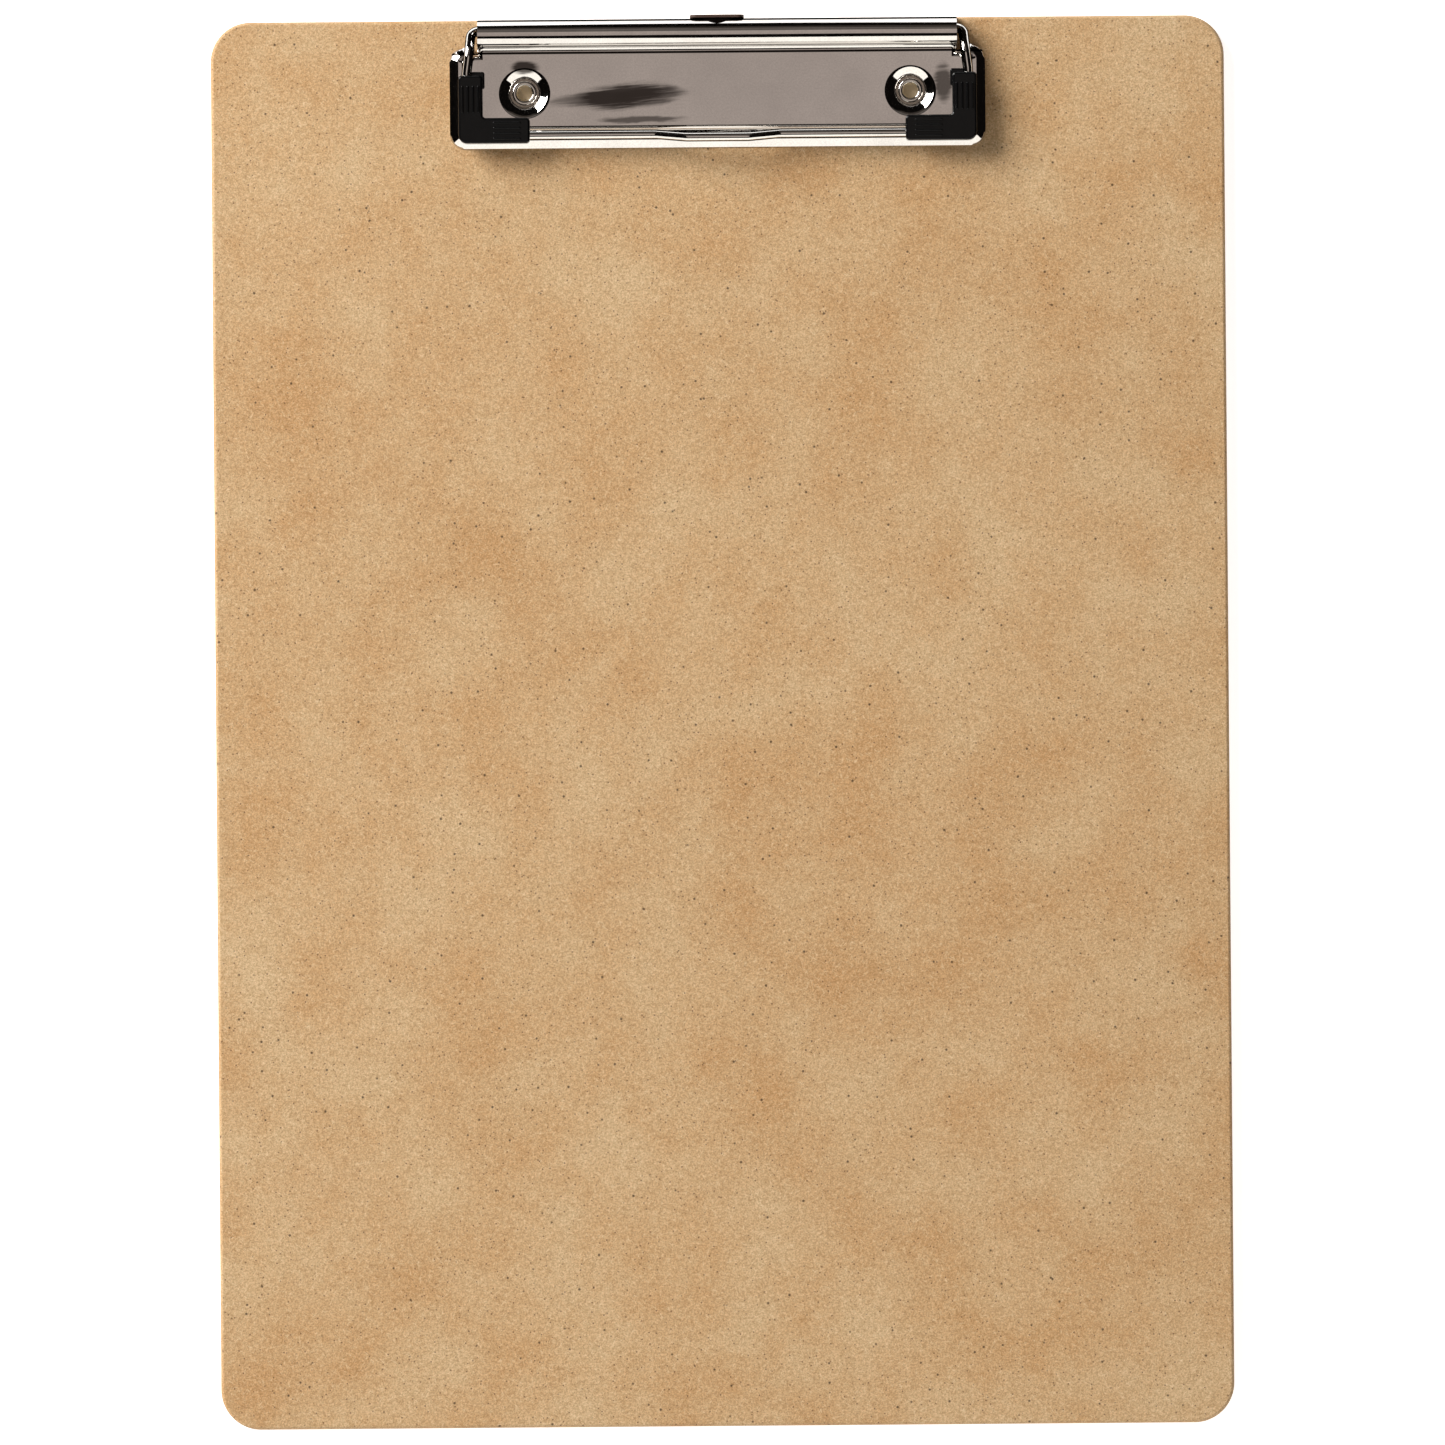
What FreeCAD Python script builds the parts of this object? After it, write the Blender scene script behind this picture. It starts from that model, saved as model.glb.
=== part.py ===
import FreeCAD, Part
import math
import os

# Hardboard clipboard with a low-profile spring-wire clip.
#
# Frame: the origin is the centre of the board's back face, +X runs to the right, +Y towards the
# clip, and +Z out of the writing face. Lengths are in millimetres.
#
# The clip is a stamped tray riveted to the board. A spring wire turns in the tray's rolled barrel,
# reaches forward as two arms and clamps paper on the tray's ledge through two rubber corner grips.
# The wire's two ends turn forward under the deck and are held there, so its barrel runs twist when
# the front is lifted. A hanging tab slides out through an arch in the barrel's rear wall.

# Board
BOARD_WIDTH = 228.6
BOARD_LENGTH = 317.5
BOARD_THICKNESS = 3.2
BOARD_CORNER_RADIUS = 9.0
BOARD_EDGE_ROUND = 0.8

# Stamped tray of the clip. Heights are above the board's writing face.
SHEET = 0.6
TRAY_WIDTH = 120.8
TRAY_FRONT_Y = 129.8
TRAY_REAR_Y = 152.6
TRAY_CORNER_RADIUS = 3.3
LEDGE_HEIGHT = 1.45
RIM_WIDTH = 1.8
RIM_FOOT_HEIGHT = 0.25
RIM_ROUND = 0.9
DECK_WIDTH = 113.3
DECK_FRONT_Y = 133.65
DECK_REAR_Y = 150.9
DECK_HEIGHT = 3.0
DECK_ROUND = 1.3
DECK_CORNER_RADIUS = 2.0
RELIEF_WIDTH = 1.0
RELIEF_DEPTH = 1.4

# Barrel rolled along the tray's rear edge
BARREL_WIDTH = 108.0
BARREL_RADIUS = 3.15
BARREL_Y = 155.5
BARREL_AXIS_HEIGHT = 2.65
BARREL_FOOT_ROUND = 1.4
BARREL_LIP_DEPTH = 2.3
TAB_SLOT_WIDTH = 13.2
TAB_SLOT_HEIGHT = 1.2
ARCH_RADIUS = 4.4
ARCH_HEIGHT = 5.15

# Rivets and the cups that hold them
RIVET_SPACING = 87.0
RIVET_Y = 142.2
CUP_TOP_RADIUS = 5.4
CUP_WELL_RADIUS = 3.25
CUP_WELL_HEIGHT = 1.5
CUP_WALL = 0.6
CUP_RIM_ROUND = 2.0
RIVET_SHANK_RADIUS = 2.05
RIVET_HOLE_RADIUS = 2.1
RIVET_BORE_RADIUS = 1.72
RIVET_BORE_DEPTH = 2.6
ROLLED_END_RADIUS = 2.8
ROLLED_END_HEIGHT = 1.0
RIVET_HEAD_RADIUS = 4.6
RIVET_HEAD_THICKNESS = 0.75
RIVET_HEAD_RECESS = 0.05
RIVET_HEAD_ROUND = 0.3
ROLLED_END_ROUND = 0.45
HEAD_POCKET_CLEARANCE = 0.1

# Spring wire
WIRE_RADIUS = 1.1
WIRE_AXIS_Y = 156.2
WIRE_AXIS_HEIGHT = 1.9
TORSION_RUN_END_X = 12.0
TAIL_GAP = 0.05
TAIL_X = 9.8
TAIL_KNEE_Y = 153.7
TAIL_END_Y = 141.0
TAIL_HEIGHT = 1.2
TAIL_ELBOW_RADIUS = 1.5
ARM_ROOT_X = 55.4
ARM_CREST = (55.9, 151.2, 4.6)
ARM_X = 56.5
ARM_LEVEL_Y = 146.8
ARM_LEVEL_HEIGHT = 4.2
FRONT_RUN_Y = 132.6
FRONT_RUN_HEIGHT = 3.9
BULGE_FOOT_X = 14.0
BULGE_TOP_X = 7.0
BULGE_RISE = 1.8
BULGE_FORWARD = 0.7
WIRE_CORNER_RADIUS = 3.0
ROOT_BEND_RADIUS = 1.8
WIRE_SOFT_RADIUS = 4.0

# Rubber corner grips pushed onto the wire
GRIP_OUTER_X = 58.4
GRIP_INNER_X = 52.9
GRIP_FRONT_END_X = 42.3
GRIP_FRONT_Y = 130.75
GRIP_BACK_OF_FRONT_LEG_Y = 136.5
GRIP_REAR_Y = 146.1
GRIP_TOP_HEIGHT = 5.8
GRIP_GAP = 0.12
GRIP_STEP_GAP = 0.2
GRIP_OUTER_ROUND = 2.0
GRIP_INNER_ROUND = 0.7
GRIP_EDGE_ROUND = 0.4
RIB_COUNT = 4
RIB_INSET_SIDE = 2.3
RIB_INSET_FRONT = 2.1
RIB_ROOT = 0.2
RIB_PITCH = 1.2
RIB_LENGTH = 6.2
RIB_WIDTH = 0.55
RIB_HEIGHT = 0.25

# Sliding hanging tab
TAB_THICKNESS = 0.8
TAB_FLOOR_GAP = 0.05
TAB_WIDTH = 12.0
TAB_REAR_Y = 159.45
TAB_INNER_Y = 139.8
TAB_SHOULDER_WIDTH = 15.5
TAB_SHOULDER_LENGTH = 3.0
TAB_SHOULDER_ROUND = 0.8
TAB_HOLE_RADIUS = 2.5
TAB_HOLE_Y = 153.9
TAB_LIP_THICKNESS = 0.65
TAB_LIP_WIDTH = 12.2
TAB_LIP_HEIGHT = 4.4
TAB_LIP_ROUND = 1.6

SIDES = (("left", -1), ("right", 1))

# How far a cutting or overlapping shape reaches past what it meets
PAST = 1.0
FAR_PAST = 5.0


def point(x, y, height):
    """A point at a height above the board's writing face."""
    return FreeCAD.Vector(x, y, BOARD_THICKNESS + height)


def block(x_low, x_high, y_low, y_high, low, high):
    """An upright box between two corners, with its heights above the writing face."""
    return Part.makeBox(x_high - x_low, y_high - y_low, high - low, point(x_low, y_low, low))


def edges_along(shape, direction, test):
    """The straight edges that run along a direction and whose centre passes a test."""
    found = []
    for edge in shape.Edges:
        if not isinstance(edge.Curve, Part.Line):
            continue
        run = edge.Vertexes[-1].Point - edge.Vertexes[0].Point
        if abs(run.normalize().dot(direction)) > 0.999 and test(edge.CenterOfMass):
            found.append(edge)
    return found


def edges_at_height(shape, height, test):
    """The edges that lie level at a height above the writing face and pass a test."""
    level = BOARD_THICKNESS + height
    found = []
    for edge in shape.Edges:
        box = edge.BoundBox
        flat = abs(box.ZMin - level) < 1e-4 and abs(box.ZMax - level) < 1e-4
        if flat and test(edge.CenterOfMass):
            found.append(edge)
    return found


def rounded_upright(shape, radius, test):
    """Round the upright edges that pass a test."""
    upright = FreeCAD.Vector(0, 0, 1)
    return shape.makeFillet(radius, edges_along(shape, upright, test))


def mirrored(shape):
    """The shape's mirror image on the other side of the centre plane."""
    return shape.mirror(FreeCAD.Vector(0, 0, 0), FreeCAD.Vector(1, 0, 0))


def upright_cylinder(x, y, radius, low, high):
    """A vertical cylinder, with its heights above the writing face."""
    return Part.makeCylinder(radius, high - low, point(x, y, low))


def upright_cone(x, y, low_radius, high_radius, low, high):
    """A vertical truncated cone, with its heights above the writing face."""
    return Part.makeCone(low_radius, high_radius, high - low, point(x, y, low))


# Board

def make_board():
    """Hardboard slab with rounded corners and two pockets for the rivet heads."""
    corner = FreeCAD.Vector(-BOARD_WIDTH / 2, -BOARD_LENGTH / 2, 0)
    slab = Part.makeBox(BOARD_WIDTH, BOARD_LENGTH, BOARD_THICKNESS, corner)
    slab = rounded_upright(slab, BOARD_CORNER_RADIUS, lambda centre: True)
    rims = edges_at_height(slab, 0, lambda centre: True)
    rims += edges_at_height(slab, -BOARD_THICKNESS, lambda centre: True)
    slab = slab.makeFillet(BOARD_EDGE_ROUND, rims)
    pocket_radius = RIVET_HEAD_RADIUS + HEAD_POCKET_CLEARANCE
    pocket_top = RIVET_HEAD_RECESS + RIVET_HEAD_THICKNESS - BOARD_THICKNESS
    for _, side in SIDES:
        x = side * RIVET_SPACING / 2
        slab = slab.cut(upright_cylinder(x, RIVET_Y, RIVET_HOLE_RADIUS, -BOARD_THICKNESS - PAST, PAST))
        slab = slab.cut(upright_cylinder(x, RIVET_Y, pocket_radius, -BOARD_THICKNESS - PAST, pocket_top))
    return slab


# Stamped tray

def rounded_outline(half_width, front_y, rear_y, radius, height):
    """A level rounded rectangle, centred on X = 0."""
    centre_x = half_width - radius
    centres = [
        (centre_x, rear_y - radius),
        (-centre_x, rear_y - radius),
        (-centre_x, front_y + radius),
        (centre_x, front_y + radius),
    ]
    edges = []
    last_end = None
    for quarter, (x, y) in enumerate(centres):
        start, middle, end = [
            point(x + radius * math.cos(turn), y + radius * math.sin(turn), height)
            for turn in [math.pi / 2 * (quarter + part) for part in (0, 0.5, 1)]
        ]
        if last_end:
            edges.append(Part.LineSegment(last_end, start).toShape())
        edges.append(Part.Arc(start, middle, end).toShape())
        last_end = end
    edges.append(Part.LineSegment(last_end, edges[0].Vertexes[0].Point).toShape())
    return Part.Wire(edges)


def rim_form(thickness, bottom):
    """The tray's sloped rim up to its ledge, less a sheet thickness."""
    slope = math.atan((LEDGE_HEIGHT - RIM_FOOT_HEIGHT) / RIM_WIDTH)
    foot = RIM_FOOT_HEIGHT - thickness / math.cos(slope)
    ledge = LEDGE_HEIGHT - thickness
    inset = (ledge - foot) / math.tan(slope)
    outlines = [rim_outline(0, bottom), rim_outline(0, foot), rim_outline(inset, ledge)]
    return Part.makeLoft(outlines, True, True)


def rim_outline(inset, height):
    """The tray's plan outline at a height, moved in from the foot of its rim."""
    return rounded_outline(
        TRAY_WIDTH / 2 - inset, TRAY_FRONT_Y + inset, TRAY_REAR_Y - inset,
        TRAY_CORNER_RADIUS - inset, height,
    )


def deck_form(thickness, bottom):
    """The raised deck and its neck to the barrel, less a sheet thickness."""
    top = DECK_HEIGHT - thickness
    deck = block(
        -DECK_WIDTH / 2 + thickness, DECK_WIDTH / 2 - thickness,
        DECK_FRONT_Y + thickness, DECK_REAR_Y - thickness, bottom, top,
    )
    deck = rounded_upright(deck, DECK_CORNER_RADIUS - thickness, lambda centre: True)
    neck = block(
        -BARREL_WIDTH / 2 + thickness, BARREL_WIDTH / 2 - thickness,
        DECK_FRONT_Y + FAR_PAST, BARREL_Y - BARREL_RADIUS + SHEET, bottom, top,
    )
    deck = deck.fuse(neck).removeSplitter()
    rim = edges_at_height(deck, top, lambda centre: centre.y < BARREL_Y - BARREL_RADIUS)
    return deck.makeFillet(DECK_ROUND - thickness, rim)


def barrel_form(radius, rear_wall_bottom, half_width):
    """The barrel's section, a half round on straight walls, run along X."""
    front = BARREL_Y - radius
    rear = BARREL_Y + radius
    axis = BARREL_AXIS_HEIGHT
    arc = Part.Arc(
        point(-half_width, front, axis),
        point(-half_width, BARREL_Y, axis + radius),
        point(-half_width, rear, axis),
    )
    corners = [
        point(-half_width, rear, axis),
        point(-half_width, rear, rear_wall_bottom),
        point(-half_width, front, rear_wall_bottom),
        point(-half_width, front, axis),
    ]
    outline = Part.Wire([arc.toShape()] + Part.makePolygon(corners).Edges)
    return Part.Face(outline).extrude(FreeCAD.Vector(2 * half_width, 0, 0))


def tray_outside():
    """The solid bounded by the tray's upper surface."""
    form = deck_form(0, 0).fuse(barrel_form(BARREL_RADIUS, 0, BARREL_WIDTH / 2)).removeSplitter()
    foot = edges_at_height(form, DECK_HEIGHT, lambda centre: centre.y > DECK_REAR_Y)
    foot = [edge for edge in foot if edge.Length > BARREL_WIDTH / 2]
    form = form.makeFillet(BARREL_FOOT_ROUND, foot)
    rim = rim_form(0, 0)
    rim = rim.makeFillet(RIM_ROUND, edges_at_height(rim, LEDGE_HEIGHT, lambda centre: True))
    return form.fuse(rim)


def tray_inside():
    """The space under the tray's sheet, open at the bottom and at the barrel's ends."""
    below = -PAST
    lip_inner_y = BARREL_Y + BARREL_RADIUS - BARREL_LIP_DEPTH
    front_wall_y = BARREL_Y - BARREL_RADIUS + SHEET
    past_ends = BARREL_WIDTH / 2 + FAR_PAST
    barrel_void = barrel_form(BARREL_RADIUS - SHEET, SHEET, past_ends)
    slot = block(-past_ends, past_ends, front_wall_y, lip_inner_y, below, BARREL_AXIS_HEIGHT)
    passage = block(
        -BARREL_WIDTH / 2 + SHEET, BARREL_WIDTH / 2 - SHEET,
        DECK_REAR_Y - FAR_PAST, front_wall_y + SHEET, below, DECK_HEIGHT - SHEET,
    )
    return rim_form(SHEET, below).fuse([deck_form(SHEET, below), passage, barrel_void, slot])


def cup_hollow(x):
    """The space inside a rivet cup: a cone down to a straight-sided well."""
    cone = upright_cone(x, RIVET_Y, CUP_WELL_RADIUS, CUP_TOP_RADIUS, CUP_WELL_HEIGHT, DECK_HEIGHT)
    return cone.fuse(upright_cylinder(x, RIVET_Y, CUP_WELL_RADIUS, SHEET, CUP_WELL_HEIGHT))


def cup_body(x):
    """A rivet cup with its wall, as it stands in the space under the deck."""
    low, high = CUP_WELL_HEIGHT, DECK_HEIGHT - SHEET
    well = CUP_WELL_RADIUS + CUP_WALL
    top = CUP_TOP_RADIUS + CUP_WALL
    cone = upright_cone(x, RIVET_Y, well, top, low - CUP_WALL, high)
    return cone.fuse(upright_cylinder(x, RIVET_Y, well, 0, low - CUP_WALL))


def tab_opening():
    """The slot for the hanging tab through the barrel's rear wall, with a finger arch over it."""
    depth = BARREL_RADIUS + PAST
    arch_start = point(0, BARREL_Y, ARCH_HEIGHT - ARCH_RADIUS)
    arch = Part.makeCylinder(ARCH_RADIUS, depth, arch_start, FreeCAD.Vector(0, 1, 0))
    half_width = TAB_SLOT_WIDTH / 2
    slot = block(-half_width, half_width, BARREL_Y, BARREL_Y + depth, -PAST, TAB_SLOT_HEIGHT)
    return arch.fuse(slot)


def relief_notch(side):
    """The notch between the barrel's end and a wing, rounded at the wing, for folding the sheet."""
    radius = RELIEF_WIDTH / 2
    barrel_end_x = side * BARREL_WIDTH / 2
    middle_x = barrel_end_x + side * radius
    wing_x = middle_x + side * radius
    root_y = TRAY_REAR_Y - RELIEF_DEPTH
    rear_y = TRAY_REAR_Y + PAST
    high = DECK_HEIGHT + PAST
    by_barrel = block(*sorted((barrel_end_x, middle_x)), root_y, rear_y, -PAST, high)
    by_wing = block(*sorted((middle_x, wing_x)), root_y + radius, rear_y, -PAST, high)
    corner = upright_cylinder(middle_x, root_y + radius, radius, -PAST, high)
    return by_barrel.fuse([by_wing, corner])


def make_tray():
    """The stamped tray: ledge, raised deck, rivet cups and rolled barrel in one sheet."""
    outside = tray_outside()
    inside = tray_inside()
    for _, side in SIDES:
        x = side * RIVET_SPACING / 2
        outside = outside.cut(cup_hollow(x))
        inside = inside.cut(cup_body(x))
        inside = inside.fuse(upright_cylinder(x, RIVET_Y, RIVET_HOLE_RADIUS, -PAST, SHEET + PAST))
    tray = outside.cut(inside)
    rims = [edge for edge in edges_at_height(tray, DECK_HEIGHT, lambda centre: True) if is_cup_rim(edge)]
    tray = tray.makeFillet(CUP_RIM_ROUND, rims)
    tray = tray.cut(tab_opening())
    for _, side in SIDES:
        tray = tray.cut(relief_notch(side))
    return tray


def is_cup_rim(edge):
    """Whether an edge is the circle where a cup meets the deck."""
    return isinstance(edge.Curve, Part.Circle) and abs(edge.Curve.Radius - CUP_TOP_RADIUS) < 0.01


# Spring wire

def smooth_path(points, radii):
    """Straight runs through the points, joined by tangent arcs of the given radii."""
    edges = []
    start = points[0]
    for index in range(1, len(points) - 1):
        corner = points[index]
        before = (points[index - 1] - corner).normalize()
        after = (points[index + 1] - corner).normalize()
        half_angle = before.getAngle(after) / 2
        tangent = radii[index - 1] / math.tan(half_angle)
        arc_start = corner + before * tangent
        arc_end = corner + after * tangent
        inward = (before + after).normalize()
        reach = radii[index - 1] / math.sin(half_angle) - radii[index - 1]
        edges.append(Part.LineSegment(start, arc_start).toShape())
        edges.append(Part.Arc(arc_start, corner + inward * reach, arc_end).toShape())
        start = arc_end
    edges.append(Part.LineSegment(start, points[-1]).toShape())
    return Part.Wire(edges)


def wire_along(path):
    """Round wire whose centre line follows a path, with its expected volume checked."""
    first = path.Edges[0]
    direction = first.tangentAt(first.FirstParameter)
    circle = Part.Wire([Part.makeCircle(WIRE_RADIUS, first.Vertexes[0].Point, direction)])
    solid = path.makePipeShell([circle], True, False)
    expected = math.pi * WIRE_RADIUS ** 2 * path.Length
    if not solid.isValid() or abs(solid.Volume / expected - 1) > 0.01:
        raise ValueError("the wire's sweep is not sound")
    return solid


def right_half_points():
    """The wire's centre line from its torsion run to the middle of the finger bulge."""
    bulge_y = FRONT_RUN_Y - BULGE_FORWARD
    bulge_height = FRONT_RUN_HEIGHT + BULGE_RISE
    return [
        point(TORSION_RUN_END_X, WIRE_AXIS_Y, WIRE_AXIS_HEIGHT),
        point(ARM_ROOT_X, WIRE_AXIS_Y, WIRE_AXIS_HEIGHT),
        point(*ARM_CREST),
        point(ARM_X, ARM_LEVEL_Y, ARM_LEVEL_HEIGHT),
        point(ARM_X, FRONT_RUN_Y, FRONT_RUN_HEIGHT),
        point(BULGE_FOOT_X, FRONT_RUN_Y, FRONT_RUN_HEIGHT),
        point(BULGE_TOP_X, bulge_y, bulge_height),
    ]


def bail_path():
    """The moving part of the wire, from one torsion run round the front to the other."""
    right = right_half_points()
    left = [FreeCAD.Vector(-place.x, place.y, place.z) for place in reversed(right)]
    radii = [
        ROOT_BEND_RADIUS, WIRE_SOFT_RADIUS, WIRE_SOFT_RADIUS,
        WIRE_CORNER_RADIUS, WIRE_SOFT_RADIUS, WIRE_SOFT_RADIUS,
    ]
    return smooth_path(right + left, radii + list(reversed(radii)))


def make_wire_bail():
    """The spring wire's moving part: torsion runs, arms and front run."""
    return wire_along(bail_path())


def make_spring_tail():
    """The right-hand wire end, turned forward and held between the deck and the board."""
    path = smooth_path(
        [
            point(TORSION_RUN_END_X - TAIL_GAP, WIRE_AXIS_Y, WIRE_AXIS_HEIGHT),
            point(TAIL_X, WIRE_AXIS_Y, WIRE_AXIS_HEIGHT),
            point(TAIL_X, TAIL_KNEE_Y, TAIL_HEIGHT),
            point(TAIL_X, TAIL_END_Y, TAIL_HEIGHT),
        ],
        [TAIL_ELBOW_RADIUS, WIRE_SOFT_RADIUS],
    )
    return wire_along(path)


# Rubber corner grips

def grip_blank():
    """The right-hand grip's L-shaped body, before the wire and the deck are cut out of it."""
    low = LEDGE_HEIGHT + GRIP_GAP
    side_leg = block(GRIP_INNER_X, GRIP_OUTER_X, GRIP_FRONT_Y, GRIP_REAR_Y, low, GRIP_TOP_HEIGHT)
    front_leg = block(
        GRIP_FRONT_END_X, GRIP_OUTER_X, GRIP_FRONT_Y, GRIP_BACK_OF_FRONT_LEG_Y, low, GRIP_TOP_HEIGHT
    )
    blank = side_leg.fuse(front_leg).removeSplitter()
    blank = rounded_upright(
        blank, GRIP_OUTER_ROUND,
        lambda centre: centre.x > GRIP_OUTER_X - 0.1 and centre.y < GRIP_FRONT_Y + 0.1,
    )
    blank = rounded_upright(
        blank, GRIP_INNER_ROUND,
        lambda centre: abs(centre.x - GRIP_INNER_X) < 0.1 and centre.y < GRIP_BACK_OF_FRONT_LEG_Y + 0.1,
    )
    rim = edges_at_height(blank, GRIP_TOP_HEIGHT, lambda centre: True)
    return blank.makeFillet(GRIP_EDGE_ROUND, rim)


def grip_ribs():
    """Raised ribs along both legs of the right-hand grip."""
    ribs = []
    side_centre = (GRIP_INNER_X + GRIP_OUTER_X) / 2
    front_centre = (GRIP_FRONT_Y + GRIP_BACK_OF_FRONT_LEG_Y) / 2
    side_start_y = GRIP_REAR_Y - RIB_INSET_SIDE - RIB_LENGTH
    front_start_x = GRIP_FRONT_END_X + RIB_INSET_FRONT
    low = GRIP_TOP_HEIGHT - RIB_ROOT
    high = GRIP_TOP_HEIGHT + RIB_HEIGHT
    for index in range(RIB_COUNT):
        offset = (index - (RIB_COUNT - 1) / 2) * RIB_PITCH - RIB_WIDTH / 2
        x = side_centre + offset
        y = front_centre + offset
        ribs.append(block(x, x + RIB_WIDTH, side_start_y, side_start_y + RIB_LENGTH, low, high))
        ribs.append(block(front_start_x, front_start_x + RIB_LENGTH, y, y + RIB_WIDTH, low, high))
    return ribs


def make_corner_grip(wire):
    """The right-hand rubber grip, stepped over the deck's edge and bored for the wire."""
    deck_space = block(
        0, DECK_WIDTH / 2 + GRIP_STEP_GAP,
        DECK_FRONT_Y - GRIP_STEP_GAP, GRIP_REAR_Y + PAST, 0, DECK_HEIGHT + GRIP_GAP,
    )
    body = grip_blank().fuse(grip_ribs()).removeSplitter()
    return body.cut(deck_space).cut(wire)


# Rivets

def make_rivet():
    """A semi-tubular rivet at X = 0, its head at the board's back and its rolled end in the cup."""
    head_low = RIVET_HEAD_RECESS - BOARD_THICKNESS
    head_high = head_low + RIVET_HEAD_THICKNESS
    rolled_top = SHEET + ROLLED_END_HEIGHT
    head = upright_cylinder(0, RIVET_Y, RIVET_HEAD_RADIUS, head_low, head_high)
    head = head.makeFillet(RIVET_HEAD_ROUND, edges_at_height(head, head_low, lambda centre: True))
    shank = upright_cylinder(0, RIVET_Y, RIVET_SHANK_RADIUS, head_high, SHEET)
    rolled_end = upright_cylinder(0, RIVET_Y, ROLLED_END_RADIUS, SHEET, rolled_top)
    bore_floor = rolled_top - RIVET_BORE_DEPTH
    bore = upright_cylinder(0, RIVET_Y, RIVET_BORE_RADIUS, bore_floor, rolled_top + PAST)
    rolled_end = rolled_end.cut(bore)
    rims = edges_at_height(rolled_end, rolled_top, lambda centre: True)
    rolled_end = rolled_end.makeFillet(ROLLED_END_ROUND, rims)
    return head.fuse([shank.cut(bore), rolled_end]).removeSplitter()


# Hanging tab

def tab_lip():
    """The tab's upturned thumb lip, with rounded upper corners."""
    lip = block(
        -TAB_LIP_WIDTH / 2, TAB_LIP_WIDTH / 2,
        TAB_REAR_Y - TAB_LIP_THICKNESS, TAB_REAR_Y, TAB_FLOOR_GAP, TAB_LIP_HEIGHT,
    )
    across = FreeCAD.Vector(0, 1, 0)
    middle = BOARD_THICKNESS + TAB_LIP_HEIGHT / 2
    return lip.makeFillet(TAB_LIP_ROUND, edges_along(lip, across, lambda centre: centre.z > middle))


def make_hanging_tab():
    """The sliding tab: a tongue with a nail hole, stop shoulders and an upturned lip."""
    low = TAB_FLOOR_GAP
    high = TAB_FLOOR_GAP + TAB_THICKNESS
    tongue = block(-TAB_WIDTH / 2, TAB_WIDTH / 2, TAB_INNER_Y, TAB_REAR_Y, low, high)
    shoulders = block(
        -TAB_SHOULDER_WIDTH / 2, TAB_SHOULDER_WIDTH / 2,
        TAB_INNER_Y, TAB_INNER_Y + TAB_SHOULDER_LENGTH, low, high,
    )
    shoulders = rounded_upright(shoulders, TAB_SHOULDER_ROUND, lambda centre: True)
    tab = tongue.fuse([shoulders, tab_lip()]).removeSplitter()
    return tab.cut(upright_cylinder(0, TAB_HOLE_Y, TAB_HOLE_RADIUS, low - PAST, high + PAST))


# Assembly

def make_nodes():
    """Every separate piece of the clipboard by name."""
    wire = make_wire_bail()
    nodes = {
        "board": make_board(),
        "clip_base_plate": make_tray(),
        "wire_bail": wire,
        "hanging_tab": make_hanging_tab(),
    }
    right_side = {"spring_tail": make_spring_tail(), "corner_grip": make_corner_grip(wire)}
    rivet = make_rivet()
    for name, side in SIDES:
        for piece, shape in right_side.items():
            nodes[piece + "_" + name] = shape if side > 0 else mirrored(shape)
        nodes["rivet_" + name] = rivet.translated(FreeCAD.Vector(side * RIVET_SPACING / 2, 0, 0))
    return nodes


def main():
    """Write one STEP file for each piece."""
    os.makedirs("parts", exist_ok=True)
    for name, shape in make_nodes().items():
        if not shape.isValid() or len(shape.Solids) != 1:
            raise ValueError(name + " is not one sound solid")
        shape.Solids[0].exportStep("parts/" + name + ".step")
        box = shape.BoundBox
        print(name, [round(size, 2) for size in (box.XLength, box.YLength, box.ZLength)])


main()
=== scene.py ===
import math

import bmesh
import bpy
from mathutils import Matrix, Vector


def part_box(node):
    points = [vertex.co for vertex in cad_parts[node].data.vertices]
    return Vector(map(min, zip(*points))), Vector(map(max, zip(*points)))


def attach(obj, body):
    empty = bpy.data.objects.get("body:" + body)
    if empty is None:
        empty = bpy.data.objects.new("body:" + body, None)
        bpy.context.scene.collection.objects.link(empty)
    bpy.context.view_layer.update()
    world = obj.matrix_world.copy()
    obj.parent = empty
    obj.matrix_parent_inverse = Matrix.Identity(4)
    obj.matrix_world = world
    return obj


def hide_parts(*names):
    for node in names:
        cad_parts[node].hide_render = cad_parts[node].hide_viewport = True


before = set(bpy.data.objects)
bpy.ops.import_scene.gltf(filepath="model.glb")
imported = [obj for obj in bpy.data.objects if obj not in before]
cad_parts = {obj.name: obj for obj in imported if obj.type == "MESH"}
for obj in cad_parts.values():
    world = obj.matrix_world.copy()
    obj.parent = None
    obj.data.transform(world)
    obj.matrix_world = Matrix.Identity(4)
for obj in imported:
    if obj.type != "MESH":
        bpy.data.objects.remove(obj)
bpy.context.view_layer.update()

# Looks of a hardboard clipboard with a low-profile wire clip.
#
# Lengths are in millimetres in the CAD frame: the origin is the centre of the board's back face,
# +Y runs towards the clip and +Z out of the writing face. Meshes are scaled to metres when they
# are made. Materials and the studio are in metres.

MM = 0.001
SIDES = (("left", -1), ("right", 1))


def cad_box(node):
    """A CAD node's lowest and highest corners, in millimetres."""
    low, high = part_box(node)
    return low / MM, high / MM


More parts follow.
